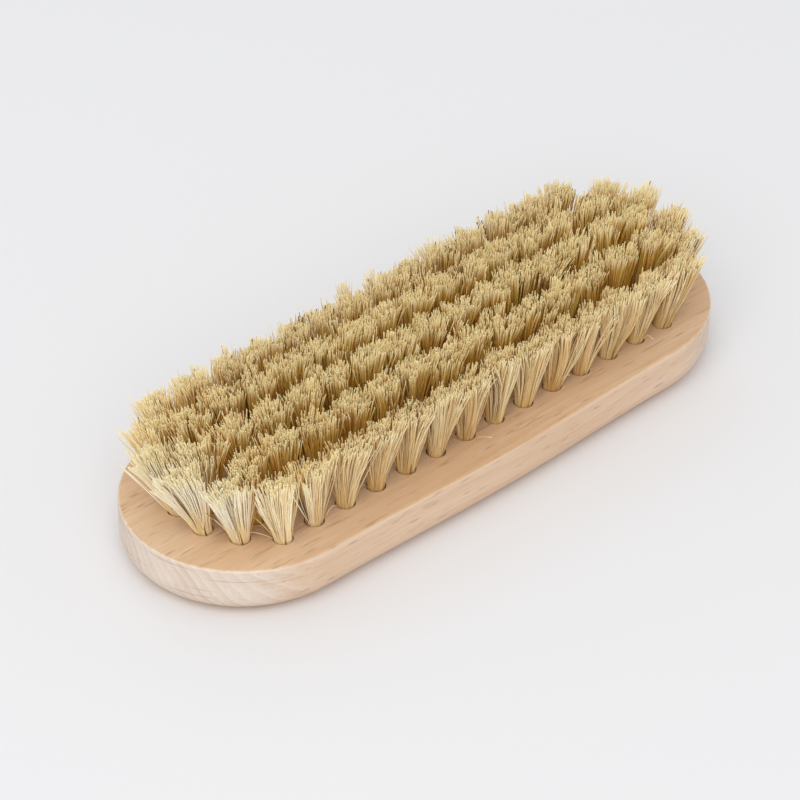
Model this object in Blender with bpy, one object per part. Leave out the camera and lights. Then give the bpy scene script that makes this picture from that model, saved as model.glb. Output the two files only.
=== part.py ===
"""Hat brush: a solid beech block with splayed tufts of natural bristle set in its face.

The block lies on its flat back, bristles up. X runs along the block, Y across it, and Z up from the
middle of the back. Straight rows of tufts run along the face, the middle one staggered by half a
step, and an arc of tufts round each end joins the two outer rows into one ring. The holes are
drilled at a slant, so the tufts lean outwards, more so towards the ends. The bristle is trimmed to a
low crown, tallest over the middle row. Tufts are built two at a time, and an odd one by itself. Each
pair is fused to a slice of the wood that holds it, and the slice fills a pocket of the same outline
in the block's face.
"""

import math
from itertools import combinations

import bmesh
import bpy
from mathutils import Matrix, Vector

# Block, in metres. The round ends are half ellipses, and the long sides bow out between them.
BLOCK_LENGTH = 0.1420
BLOCK_WIDTH = 0.0500
BLOCK_THICKNESS = 0.0115
END_ROUND_REACH = 0.0255
SIDE_BOW = 0.0010
BACK_EDGE_RADIUS = 0.0055
FACE_EDGE_RADIUS = 0.0005

# Rows of tufts. The straight rows run on past the start of each round end by the overrun. The end
# gap lies between the last tuft of the middle row and the front of the arc of tufts round the end.
ROWS_EACH_SIDE = 2
TUFTS_PER_ROW = 14
TUFTS_PER_END = 4
ROW_PITCH = 0.00775
ROW_OVERRUN = 0.0052
END_GAP = 0.0060

# One tuft. The bristle has its full length over the middle row, and the crown drop is what the trim
# takes off more at the ring of outer tufts. The splay is the slant of the outermost tufts, and inner
# ones slant less. The end splay fades towards the middle of the brush by a power of the distance from
# there, and the left end's tufts slant more than the right end's.
TUFT_HOLE_DIAMETER = 0.0040
BRISTLE_LENGTH = 0.0175
CROWN_DROP = 0.0016
TRIM_UNEVENNESS = 0.0010
SIDE_SPLAY = math.radians(6.0)
LEFT_END_SPLAY = math.radians(18.0)
RIGHT_END_SPLAY = math.radians(13.5)
END_SPLAY_POWER = 2.5
TIP_CLEARANCE = 0.0005

# One strand, which stands for a bundle of bristles. It is a slim pyramid cut off level at its tip.
STRAND_SIDES = 3
STRANDS_ROUND_MIDDLE = 5
STRAND_ROOT_RADIUS = 0.00064
STRAND_TIP_RADIUS = 0.00060
STRAND_SINK = 0.0010

# Slices of backing and their pockets in the face.
TUFTS_PER_SLICE = 2
SLICE_DEPTH = 0.0030
SLICE_RIM = 0.0006
SLICE_FIT = 0.0003

# Smoothness of the round stretches.
END_STEPS = 32
SIDE_STEPS = 8
BACK_EDGE_STEPS = 6
FACE_EDGE_STEPS = 1
SLICE_END_STEPS = 6

WELD_DISTANCE = 0.00001
CUT_OVERRUN = 0.0010
FLAT_ANGLE = math.radians(0.05)
SHARP_ANGLE = math.radians(30.0)
GOLDEN_ANGLE = math.pi * (3.0 - math.sqrt(5.0))

BEECH_COLOUR = (0.72, 0.47, 0.28, 1.0)
BEECH_ROUGHNESS = 0.55
BRISTLE_COLOUR = (0.66, 0.50, 0.26, 1.0)
BRISTLE_ROUGHNESS = 0.70

HALF_LENGTH = BLOCK_LENGTH / 2
HALF_WIDTH = BLOCK_WIDTH / 2
SPINE_HALF = HALF_LENGTH - END_ROUND_REACH
ROW_HALF = SPINE_HALF + ROW_OVERRUN
HALF_STEP = ROW_HALF / (TUFTS_PER_ROW - 1)
RING_HALF_WIDTH = ROWS_EACH_SIDE * ROW_PITCH
RING_REACH = ROW_OVERRUN + HALF_STEP + END_GAP
SLICE_RADIUS = TUFT_HOLE_DIAMETER / 2 + SLICE_RIM


def clear_scene():
    """Removes whatever the scene holds."""
    for thing in list(bpy.data.objects):
        bpy.data.objects.remove(thing, do_unlink=True)


def new_collection(name):
    """Makes a collection in the scene."""
    collection = bpy.data.collections.new(name)
    bpy.context.scene.collection.children.link(collection)
    return collection


def plain_material(name, colour, roughness):
    """Makes a material of one colour without metal."""
    material = bpy.data.materials.new(name)
    material.use_nodes = True
    shader = material.node_tree.nodes["Principled BSDF"]
    shader.inputs["Base Color"].default_value = colour
    shader.inputs["Roughness"].default_value = roughness
    shader.inputs["Metallic"].default_value = 0.0
    return material


def beech_material():
    """Pale steamed beech, sanded and unvarnished."""
    return plain_material("beech", BEECH_COLOUR, BEECH_ROUGHNESS)


def bristle_material():
    """Undyed natural bristle."""
    return plain_material("bristle", BRISTLE_COLOUR, BRISTLE_ROUGHNESS)


def add_object(name, mesh, collection, material=None):
    """Puts a mesh into the scene as an object at the origin."""
    thing = bpy.data.objects.new(name, mesh)
    collection.objects.link(thing)
    if material:
        mesh.materials.append(material)
    return thing


def mark_as_helper(thing):
    """Keeps an object that only cuts or joins another out of the model."""
    thing.hide_render = True
    thing.display_type = "WIRE"


def plate_mesh(name, outline, bottom, top):
    """Fills a closed flat outline and gives it thickness, as a mesh from bottom to top."""
    curve = bpy.data.curves.new(name, "CURVE")
    curve.dimensions = "2D"
    curve.fill_mode = "BOTH"
    curve.extrude = (top - bottom) / 2
    spline = curve.splines.new("POLY")
    spline.points.add(len(outline) - 1)
    spline.use_cyclic_u = True
    for point, (x, y) in zip(spline.points, outline):
        point.co = (x, y, 0.0, 1.0)
    guide = bpy.data.objects.new(name, curve)
    bpy.context.scene.collection.objects.link(guide)
    guide.location.z = (bottom + top) / 2
    bpy.context.view_layer.update()
    evaluated = guide.evaluated_get(bpy.context.evaluated_depsgraph_get())
    mesh = bpy.data.meshes.new_from_object(evaluated)
    shape = bmesh.new()
    shape.from_mesh(mesh)
    bmesh.ops.transform(shape, matrix=guide.matrix_world, verts=shape.verts)
    bmesh.ops.remove_doubles(shape, verts=shape.verts, dist=WELD_DISTANCE)
    bmesh.ops.dissolve_limit(shape, angle_limit=FLAT_ANGLE, verts=shape.verts, edges=shape.edges)
    bmesh.ops.recalc_face_normals(shape, faces=shape.faces)
    shape.to_mesh(mesh)
    shape.free()
    bpy.data.objects.remove(guide)
    bpy.data.curves.remove(curve)
    mesh.name = name
    return mesh


def block_outline():
    """Points of the block's plan, anticlockwise.

    Each end is half an ellipse. Each side bows out by half a wave of a cosine, which meets the ends
    without a kink.
    """
    end_half_width = HALF_WIDTH - SIDE_BOW
    quarter = []
    for step in range(END_STEPS // 2 + 1):
        angle = math.pi / 2 * step / (END_STEPS // 2)
        quarter.append((SPINE_HALF + END_ROUND_REACH * math.cos(angle), end_half_width * math.sin(angle)))
    for step in range(1, SIDE_STEPS // 2):
        share = step / (SIDE_STEPS // 2)
        bow = SIDE_BOW * (1 - math.cos(math.pi * share)) / 2
        quarter.append((SPINE_HALF * (1 - share), end_half_width + bow))
    left = [(-x, y) for x, y in reversed(quarter)]
    upper = quarter + [(0.0, HALF_WIDTH)] + left
    lower = [(x, -y) for x, y in reversed(upper[1:-1])]
    return upper + lower


def round_level_edges(mesh, height, radius, steps):
    """Rounds the edges of a mesh that lie level at a height."""
    shape = bmesh.new()
    shape.from_mesh(mesh)
    edges = [
        edge
        for edge in shape.edges
        if all(abs(corner.co.z - height) < WELD_DISTANCE for corner in edge.verts)
    ]
    bmesh.ops.bevel(
        shape,
        geom=edges,
        offset=radius,
        offset_type="OFFSET",
        segments=steps,
        profile=0.5,
        affect="EDGES",
        clamp_overlap=True,
    )
    shape.to_mesh(mesh)
    shape.free()


def make_block(collection, cutters, material):
    """The beech block, with a pocket in its face for each slice of backing."""
    mesh = plate_mesh("block", block_outline(), 0.0, BLOCK_THICKNESS)
    round_level_edges(mesh, 0.0, BACK_EDGE_RADIUS, BACK_EDGE_STEPS)
    round_level_edges(mesh, BLOCK_THICKNESS, FACE_EDGE_RADIUS, FACE_EDGE_STEPS)
    block = add_object("block", mesh, collection, material)
    cut = block.modifiers.new("pockets", "BOOLEAN")
    cut.operation = "DIFFERENCE"
    cut.solver = "EXACT"
    cut.operand_type = "COLLECTION"
    cut.collection = cutters
    mesh.shade_smooth()
    mesh.set_sharp_from_angle(angle=SHARP_ANGLE)
    return block


def row_of_tufts(count, half_run, y):
    """Points of one straight row, evenly spaced from one end to the other."""
    return [Vector((half_run * (2 * k / (count - 1) - 1), y)) for k in range(count)]


def end_arc(side):
    """Points of the half oval that joins the two outer rows round one end.

    The side is -1 for the left end and 1 for the right. The points divide the turn from one row's
    last tuft to the other's evenly.
    """
    widest = math.acos(ROW_OVERRUN / RING_REACH)
    points = []
    for step in range(1, TUFTS_PER_END + 1):
        angle = widest * (1 - 2 * step / (TUFTS_PER_END + 1))
        x = SPINE_HALF + RING_REACH * math.cos(angle)
        points.append(Vector((side * x, RING_HALF_WIDTH * math.sin(angle))))
    return points


def tuft_rows():
    """Names and tuft centres of each end and each row, nearest row first.

    The middle row has one tuft more than the others, half a step out of line with them.
    """
    rows = {"left_end": end_arc(-1), "right_end": end_arc(1)}
    for offset in range(-ROWS_EACH_SIDE, ROWS_EACH_SIDE + 1):
        if offset:
            row = row_of_tufts(TUFTS_PER_ROW, ROW_HALF, offset * ROW_PITCH)
        else:
            row = row_of_tufts(TUFTS_PER_ROW + 1, ROW_HALF + HALF_STEP, 0.0)
        rows[f"row_{offset + ROWS_EACH_SIDE + 1}"] = row
    return rows


def lean_of(point):
    """How far a tuft leans, as run over rise along X and Y.

    The slant across the block grows evenly with the distance from its middle line. The slant along
    the block grows by a power of the distance from its middle, and is full at the ends of the arcs.
    """
    end_splay = -LEFT_END_SPLAY if point.x < 0 else RIGHT_END_SPLAY
    slant = end_splay * (abs(point.x) / (SPINE_HALF + RING_REACH)) ** END_SPLAY_POWER
    return Vector((math.tan(slant), math.tan(SIDE_SPLAY * point.y / RING_HALF_WIDTH)))


def length_of(point):
    """How long a tuft's bristle is above the face.

    The drop grows with the square of how far out the tuft stands, 0 on the middle line and 1 on the
    ring of outer tufts.
    """
    past = max(abs(point.x) - SPINE_HALF, 0.0) / RING_REACH
    return BRISTLE_LENGTH - CROWN_DROP * (past**2 + (point.y / RING_HALF_WIDTH) ** 2)


def spread_at_tips(points):
    """Radius of the circle that each tuft's outer strands reach at the tips, clear of its neighbours."""
    tips = [point + length_of(point) * lean_of(point) for point in points]
    nearest = min((one - other).length for one, other in combinations(tips, 2))
    return (nearest - TIP_CLEARANCE) / 2 - STRAND_TIP_RADIUS


def add_strand(shape, root, tip, turn):
    """Adds one strand from root to tip, its ends level, turned about the upright by an angle."""
    rise = tip.z - root.z
    run = (tip - root) / rise
    shear = Matrix(((1, 0, run.x, 0), (0, 1, run.y, 0), (0, 0, 1, 0), (0, 0, 0, 1)))
    place = Matrix.Translation((root + tip) / 2) @ shear @ Matrix.Rotation(turn, 4, "Z")
    bmesh.ops.create_cone(
        shape,
        cap_ends=True,
        segments=STRAND_SIDES,
        radius1=STRAND_ROOT_RADIUS,
        radius2=STRAND_TIP_RADIUS,
        depth=rise,
        matrix=place,
    )


def add_tuft(shape, point, spread, number):
    """Adds one tuft: a middle strand and a ring of strands that fan out from the hole.

    Each tuft's ring is turned by a golden angle from the last, and its tips are cut a little uneven.
    """
    lean = lean_of(point)
    length = length_of(point)
    root_ring = TUFT_HOLE_DIAMETER / 2 - STRAND_ROOT_RADIUS
    start = number * GOLDEN_ANGLE
    for strand in range(STRANDS_ROUND_MIDDLE + 1):
        turn = start + 2 * math.pi * strand / STRANDS_ROUND_MIDDLE
        outward = Vector((math.cos(turn), math.sin(turn))) if strand < STRANDS_ROUND_MIDDLE else Vector((0, 0))
        short = TRIM_UNEVENNESS * (1 - math.cos(turn * (STRANDS_ROUND_MIDDLE + strand))) / 2
        rise = length - short
        at_face = point + outward * root_ring
        at_tip = point + lean * rise + outward * spread
        run = (at_tip - at_face) / rise
        at_root = at_face - run * STRAND_SINK
        add_strand(
            shape,
            Vector((at_root.x, at_root.y, BLOCK_THICKNESS - STRAND_SINK)),
            Vector((at_tip.x, at_tip.y, BLOCK_THICKNESS + rise)),
            turn,
        )


def slice_outline(points, radius):
    """Outline round one or more tufts in line: straight sides and a half circle at each end."""
    first, last = points[0], points[-1]
    along = (last - first).normalized() if len(points) > 1 else Vector((1, 0))
    heading = math.atan2(along.y, along.x)
    outline = []
    for centre, start in ((last, heading - math.pi / 2), (first, heading + math.pi / 2)):
        for step in range(SLICE_END_STEPS + 1):
            angle = start + math.pi * step / SLICE_END_STEPS
            outline.append((centre.x + radius * math.cos(angle), centre.y + radius * math.sin(angle)))
    if len(points) == 1:
        del outline[SLICE_END_STEPS], outline[-1]
    return outline


def make_pocket(name, points, cutters):
    """The cutter that sinks a slice's pocket into the face."""
    mesh = plate_mesh(
        f"{name}_pocket",
        slice_outline(points, SLICE_RADIUS + SLICE_FIT),
        BLOCK_THICKNESS - SLICE_DEPTH - SLICE_FIT,
        BLOCK_THICKNESS + CUT_OVERRUN,
    )
    mark_as_helper(add_object(mesh.name, mesh, cutters))


def make_tufts(name, points, spread, first_number, collection, helpers, material):
    """One or two tufts, fused to the slice of wood that they stand in."""
    outline = slice_outline(points, SLICE_RADIUS)
    mesh = plate_mesh(name, outline, BLOCK_THICKNESS - SLICE_DEPTH, BLOCK_THICKNESS)
    tufts = add_object(name, mesh, collection, material)
    shape = bmesh.new()
    for k, point in enumerate(points):
        add_tuft(shape, point, spread, first_number + k)
    strands_mesh = bpy.data.meshes.new(f"{name}_strands")
    shape.to_mesh(strands_mesh)
    shape.free()
    strands = add_object(strands_mesh.name, strands_mesh, helpers)
    mark_as_helper(strands)
    join = tufts.modifiers.new("strands", "BOOLEAN")
    join.operation = "UNION"
    join.solver = "EXACT"
    join.object = strands
    return tufts


def main():
    """Builds the whole brush."""
    clear_scene()
    brush = new_collection("hat_brush")
    pockets = new_collection("pocket_cutters")
    helpers = new_collection("loose_strands")
    beech = beech_material()
    bristle = bristle_material()
    rows = tuft_rows()
    spread = spread_at_tips([point for row in rows.values() for point in row])
    number = 0
    for row_name, row in rows.items():
        for first in range(0, len(row), TUFTS_PER_SLICE):
            points = row[first : first + TUFTS_PER_SLICE]
            name = f"tufts_{row_name}_{first // TUFTS_PER_SLICE + 1}"
            make_pocket(name, points, pockets)
            make_tufts(name, points, spread, number, brush, helpers, bristle)
            number += len(points)
    make_block(brush, pockets, beech)


main()
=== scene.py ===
"""Looks of the hat brush: a steamed beech block with 79 splayed tufts of natural bristle.

All sizes are in metres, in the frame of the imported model: X runs along the block, Y across it, and Z
up from the middle of its flat back. The block is one lofted surface with a slanted blind hole for each
tuft. Each tuft is grown strand by strand out of its hole. A node of the model carries one or two
tufts, and their strands are one piece here.
"""

import logging
import math
from collections.abc import Iterator
from dataclasses import dataclass
from enum import Enum
from functools import partial, reduce

import bpy
import numpy as np
from mathutils import Matrix, Vector


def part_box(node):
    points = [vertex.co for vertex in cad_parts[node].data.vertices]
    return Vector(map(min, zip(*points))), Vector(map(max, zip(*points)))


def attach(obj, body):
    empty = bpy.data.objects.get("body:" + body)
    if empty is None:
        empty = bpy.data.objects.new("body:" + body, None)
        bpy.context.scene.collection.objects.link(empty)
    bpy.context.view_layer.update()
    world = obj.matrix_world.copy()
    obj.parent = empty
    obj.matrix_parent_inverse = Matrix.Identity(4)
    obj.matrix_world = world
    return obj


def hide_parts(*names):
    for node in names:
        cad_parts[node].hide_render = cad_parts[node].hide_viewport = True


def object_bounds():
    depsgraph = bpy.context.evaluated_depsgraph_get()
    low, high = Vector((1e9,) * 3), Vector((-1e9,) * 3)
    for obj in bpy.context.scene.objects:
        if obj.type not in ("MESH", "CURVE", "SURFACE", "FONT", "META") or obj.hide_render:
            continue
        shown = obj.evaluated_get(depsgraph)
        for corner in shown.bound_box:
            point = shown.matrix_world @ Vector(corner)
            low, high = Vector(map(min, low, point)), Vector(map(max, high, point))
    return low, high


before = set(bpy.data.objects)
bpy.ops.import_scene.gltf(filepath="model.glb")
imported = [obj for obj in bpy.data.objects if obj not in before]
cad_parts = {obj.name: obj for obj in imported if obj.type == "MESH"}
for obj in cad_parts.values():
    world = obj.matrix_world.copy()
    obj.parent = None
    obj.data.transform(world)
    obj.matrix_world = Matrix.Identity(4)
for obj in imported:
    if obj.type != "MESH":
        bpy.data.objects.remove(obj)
CAD_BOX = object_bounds()

LOG = logging.getLogger("hat_brush")
BODY = "root"
GOLDEN_ANGLE = math.pi * (3.0 - math.sqrt(5.0))
Colour = tuple[float, float, float]
# Where an effect starts and where it is full, or the least and the most of a random draw.
Range = tuple[float, float]
Socket = bpy.types.NodeSocket


class Slot(Enum):
    """The record's material slots."""

    BEECH = "beech"
    BRISTLE = "bristle"


class Pigment(Enum):
    """What a strand's own pigment is, as its attribute holds it."""

    PALE = 0.0
    BROWN = 0.5
    BLACK = 1.0


class Graph:
    """A node tree that is being filled."""

    # Where a Mix node that is set to colours has its first colour and its result.
    MIX_COLOURS, MIX_RESULT = 6, 2

    def __init__(self, tree: bpy.types.NodeTree) -> None:
        """Keeps the tree that the nodes go into."""
        self.tree = tree

    def fill(self, node: bpy.types.Node, inputs: dict) -> None:
        """Links or sets a node's inputs.

        Args:
            node: The node.
            inputs: For each input, by name or number, a socket to link from or a value to set.
        """
        for name, value in inputs.items():
            if isinstance(value, Socket):
                self.tree.links.new(value, node.inputs[name])
            else:
                node.inputs[name].default_value = value

    def add(self, kind: str, inputs: dict | None = None, **settings: object) -> bpy.types.Node:
        """Adds a node.

        Args:
            kind: The node's Blender type.
            inputs: Its inputs, as fill takes them.
            settings: Its own properties.

        Returns:
            The new node.
        """
        node = self.tree.nodes.new(kind)
        for name, value in settings.items():
            setattr(node, name, value)
        self.fill(node, inputs or {})
        return node

    def split(self, vector: Socket) -> tuple[Socket, ...]:
        """Returns a vector's X, Y and Z."""
        return tuple(self.add("ShaderNodeSeparateXYZ", {0: vector}).outputs)

    def join(self, *values: Socket | float) -> Socket:
        """Returns the vector that X, Y and Z make."""
        return self.add("ShaderNodeCombineXYZ", dict(enumerate(values))).outputs[0]

    def math(self, operation: str, *values: Socket | float) -> Socket:
        """Adds a Math node on sockets or numbers, and returns its result."""
        return self.add("ShaderNodeMath", dict(enumerate(values)), operation=operation).outputs[0]

    def total(self, *values: Socket | float) -> Socket:
        """Returns the sum of sockets or numbers."""
        return reduce(partial(self.math, "ADD"), values)

    def product(self, *values: Socket | float) -> Socket:
        """Returns the product of sockets or numbers."""
        return reduce(partial(self.math, "MULTIPLY"), values)

    def weighted(self, *terms: tuple[Socket | float, ...]) -> Socket:
        """Returns the sum of the terms' products."""
        return self.total(*(self.product(*term) for term in terms))

    def ease(self, value: Socket, low: float, high: float) -> Socket:
        """Returns a socket that eases from 0 to 1 while the value goes from low to high."""
        inputs = {"Value": value, "From Min": low, "From Max": high}
        return self.add("ShaderNodeMapRange", inputs, interpolation_type="SMOOTHSTEP").outputs[0]

    def mix(self, share: Socket, first: Socket | Colour, second: Socket | Colour) -> Socket:
        """Adds a mix of two colours.

        Args:
            share: How much of the second colour there is, from 0 to 1.
            first: The colour at share 0.
            second: The colour at share 1.

        Returns:
            The mixed colour.
        """
        ends = (end if isinstance(end, Socket) else (*end, 1.0) for end in (first, second))
        inputs = {0: share} | dict(enumerate(ends, self.MIX_COLOURS))
        node = self.add("ShaderNodeMix", inputs, data_type="RGBA", clamp_factor=True)
        return node.outputs[self.MIX_RESULT]


class Surface(Graph):
    """The node tree of a material that is being made, with the place in the object that wears it."""

    def __init__(self, name: str) -> None:
        """Makes the material, which has its Principled shader from the start."""
        self.material = bpy.data.materials.new(name)
        self.material.use_nodes = True
        super().__init__(self.material.node_tree)
        self.place = self.add("ShaderNodeTexCoord").outputs["Object"]

    def finish(self, inputs: dict) -> bpy.types.Material:
        """Fills the Principled shader's inputs and returns the material."""
        self.fill(self.tree.nodes["Principled BSDF"], inputs)
        return self.material


def new_group(
    name: str, inputs: dict[str, tuple[str, object]], output: tuple[str, str]
) -> tuple[Graph, bpy.types.Node, bpy.types.Node]:
    """Makes an empty shader node group.

    Args:
        name: The group's name.
        inputs: For each input, its socket type and its default.
        output: The one output's name and socket type.

    Returns:
        The group's Graph, and its input and output nodes.
    """
    graph = Graph(bpy.data.node_groups.new(name, "ShaderNodeTree"))
    sockets = graph.tree.interface
    for label, (kind, default) in inputs.items():
        sockets.new_socket(label, in_out="INPUT", socket_type=kind).default_value = default
    sockets.new_socket(output[0], in_out="OUTPUT", socket_type=output[1])
    return graph, graph.add("NodeGroupInput"), graph.add("NodeGroupOutput")


@dataclass(frozen=True)
class Streaks:
    """Sizes of one pattern of streaks: cells a metre across them, and how drawn out they are."""

    fineness: float
    stretch: float
    detail: float = 2.0


class Effects:
    """The node groups that both finishes place."""

    NOISE_LOW, NOISE_HIGH = 0.25, 0.75
    NOISE_ROUGHNESS = 0.55

    def __init__(self) -> None:
        """Builds each group once."""
        self.streaks = self.make_streaks()
        self.depth = self.make_depth()

    def make_streaks(self) -> bpy.types.NodeTree:
        """Makes long streaks: noise drawn out along X, from about -1 to 1.

        The place is scaled by Fineness, in cells a metre, but along X by Fineness over Stretch. The
        middle half of the noise there is then spread over -1 to 1.

        Returns:
            The group, with the output Value.
        """
        inputs = {
            "Vector": ("NodeSocketVector", (0.0, 0.0, 0.0)),
            "Fineness": ("NodeSocketFloat", 1000.0),
            "Stretch": ("NodeSocketFloat", 10.0),
            "Detail": ("NodeSocketFloat", 2.0),
        }
        graph, given, result = new_group("long_streaks", inputs, ("Value", "NodeSocketFloat"))
        fineness = given.outputs["Fineness"]
        along = graph.math("DIVIDE", fineness, given.outputs["Stretch"])
        factors = {0: given.outputs["Vector"], 1: graph.join(along, fineness, fineness)}
        place = graph.add("ShaderNodeVectorMath", factors, operation="MULTIPLY")
        wanted = {
            "Vector": place.outputs[0],
            "Scale": 1.0,
            "Detail": given.outputs["Detail"],
            "Roughness": self.NOISE_ROUGHNESS,
        }
        noise = graph.add("ShaderNodeTexNoise", wanted).outputs[0]
        spread = {"Value": noise, "From Min": self.NOISE_LOW, "From Max": self.NOISE_HIGH}
        spread |= {"To Min": -1.0, "To Max": 1.0}
        value = graph.add("ShaderNodeMapRange", spread, clamp=False)
        graph.fill(result, {"Value": value.outputs[0]})
        return graph.tree

    def make_depth(self) -> bpy.types.NodeTree:
        """Makes a group that deepens a colour as a thicker layer of the same stuff would, or as painted
        shade.

        Each channel is raised to the power 1 + Depth, so that a positive depth gives a darker and
        richer colour and a negative one a paler colour.

        Returns:
            The group, with the output Color.
        """
        inputs = {
            "Color": ("NodeSocketColor", (0.8, 0.8, 0.8, 1.0)),
            "Depth": ("NodeSocketFloat", 0.0),
        }
        graph, given, result = new_group("colour_depth", inputs, ("Color", "NodeSocketColor"))
        parts = graph.add("ShaderNodeSeparateColor", {"Color": given.outputs["Color"]})
        power = graph.math("ADD", given.outputs["Depth"], 1.0)
        channels = {k: graph.math("POWER", parts.outputs[k], power) for k in range(3)}
        joined = graph.add("ShaderNodeCombineColor", channels)
        graph.fill(result, {"Color": joined.outputs[0]})
        return graph.tree

    def streak(self, graph: Graph, place: Socket, sizes: Streaks) -> Socket:
        """Places streaks in a material.

        Args:
            graph: The material's tree.
            place: The point to read them at.
            sizes: Their sizes.

        Returns:
            Their value, from about -1 to 1.
        """
        inputs = {"Vector": place, "Fineness": sizes.fineness, "Stretch": sizes.stretch}
        inputs["Detail"] = sizes.detail
        return graph.add("ShaderNodeGroup", inputs, node_tree=self.streaks).outputs["Value"]

    def deepen(self, graph: Graph, colour: Socket, depth: Socket) -> Socket:
        """Places the colour depth in a material and returns its colour."""
        inputs = {"Color": colour, "Depth": depth}
        return graph.add("ShaderNodeGroup", inputs, node_tree=self.depth).outputs["Color"]


@dataclass(frozen=True)
class BeechFinish:
    """Sanded, unvarnished steamed beech, a solid texture in the block's own coordinates.

    Flecks, pores and fibres run along X, and growth rings lie round the pith, a line along X beside
    the block. The end grain is paler. The face is painted a little paler towards the left end, a
    painted light, and the arris is rubbed pale in part and carries a painted highlight.
    """

    face: Colour = (0.685, 0.465, 0.290)
    wall: Colour = (0.750, 0.550, 0.392)
    end_grain: Colour = (0.755, 0.648, 0.558)
    # The arris colour: partly real wear and partly a painted highlight.
    arris: Colour = (0.850, 0.715, 0.560)
    # Painted light: a paler face towards the left end, standing in for more light falling there.
    left_end_light: Colour = (0.860, 0.690, 0.500)
    left_end_light_share: float = 0.24
    left_end_light_x: Range = (-0.050, -0.070)
    fleck: Colour = (0.360, 0.190, 0.100)
    facing_end: Range = (0.00, 0.70)
    facing_up: Range = (0.35, 0.90)
    pith_y: float = 0.062
    pith_z: float = -0.034
    ring_spacing: float = 0.0019
    ring_waver: float = 0.0012
    ring_fall: Range = (0.88, 1.00)
    faintest_ring: float = 0.3
    ring_variety: float = 0.8
    drift: Streaks = Streaks(55.0, 4.0)
    fibres: Streaks = Streaks(1500.0, 34.0)
    bands: Streaks = Streaks(190.0, 11.0, 1.0)
    flecks: Streaks = Streaks(1450.0, 8.0, 1.0)
    pores: Streaks = Streaks(2600.0, 12.0, 1.0)
    cuts: Streaks = Streaks(1500.0, 28.0, 1.0)
    ring_depth: float = 0.15
    end_ring_depth: float = 0.38
    fibre_depth: float = 0.085
    band_depth: float = 0.13
    pore_range: Range = (0.35, 1.00)
    pore_depth: float = 0.12
    cut_range: Range = (0.50, 0.85)
    cut_depth: float = 0.80
    fleck_range: Range = (0.34, 1.20)
    fleck_share: float = 0.50
    end_fleck_loss_share: float = 0.75
    end_rub_and_highlight_share: float = 0.50
    side_rub_and_highlight_share: float = 0.12
    rub_and_highlight_height_shares: Range = (0.90, 0.96)
    rub_and_highlight_tilt: Range = (0.05, 0.35)
    flat_tilt: Range = (0.93, 0.995)
    rub_and_highlight_fineness: float = 700.0
    rub_and_highlight_breaks: Range = (0.30, 0.60)
    roughness: float = 0.56
    roughness_change: float = 0.05
    fibre_relief: float = 0.40
    ring_relief: float = 0.25
    fleck_relief: float = -1.00
    pore_relief: float = -0.50
    relief_strength: float = 0.5
    relief_height: float = 0.00006
    specular: float = 0.32

    def material(self, effects: Effects, face_height: float) -> bpy.types.Material:
        """Builds the material.

        Args:
            effects: The shared node groups.
            face_height: The height of the block's face.

        Returns:
            The material.
        """
        graph = Surface("steamed_beech")
        place = graph.place
        facing_x, _, facing_z = graph.split(graph.add("ShaderNodeNewGeometry").outputs["Normal"])
        end_on = graph.ease(graph.math("ABSOLUTE", facing_x), *self.facing_end)
        level = graph.ease(graph.math("ABSOLUTE", facing_z), *self.facing_up)
        rings = self.rings(effects, graph)
        fibre = effects.streak(graph, place, self.fibres)
        band = effects.streak(graph, place, self.bands)
        pore = graph.ease(effects.streak(graph, place, self.pores), *self.pore_range)
        fleck = graph.ease(effects.streak(graph, place, self.flecks), *self.fleck_range)
        sides = graph.mix(end_on, self.wall, self.end_grain)
        # Painted light: the face is mixed paler towards the left end, where more light falls.
        left_end_light = graph.product(graph.ease(graph.split(place)[0], *self.left_end_light_x), self.left_end_light_share)
        ground = graph.mix(level, sides, graph.mix(left_end_light, self.face, self.left_end_light))
        depth = graph.weighted(
            (rings, self.ring_depth),
            (rings, end_on, self.end_ring_depth),
            (fibre, self.fibre_depth),
            (band, self.band_depth),
            (pore, self.pore_depth),
            (self.scratches(effects, graph), end_on, self.cut_depth),
        )
        body = effects.deepen(graph, ground, depth)
        along_grain = graph.math("MULTIPLY_ADD", end_on, -self.end_fleck_loss_share, 1.0)
        flecked = graph.mix(graph.product(fleck, along_grain, self.fleck_share), body, self.fleck)
        # The arris is made paler, partly as wear and partly as a painted highlight, most at the ends.
        rubbed_and_highlit_share = graph.math("MULTIPLY_ADD", end_on, self.end_rub_and_highlight_share, self.side_rub_and_highlight_share)
        rubbed_and_highlit = graph.product(self.rubbed_edge_and_highlight(graph, facing_z, face_height), rubbed_and_highlit_share)
        relief = graph.weighted(
            (fibre, self.fibre_relief),
            (rings, self.ring_relief),
            (fleck, self.fleck_relief),
            (pore, self.pore_relief),
        )
        bump = {"Height": relief, "Strength": self.relief_strength, "Distance": self.relief_height}
        looks = {
            "Base Color": graph.mix(rubbed_and_highlit, flecked, self.arris),
            "Roughness": graph.math("MULTIPLY_ADD", fibre, self.roughness_change, self.roughness),
            "Normal": graph.add("ShaderNodeBump", bump).outputs[0],
            "Specular IOR Level": self.specular,
        }
        return graph.finish(looks)

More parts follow.
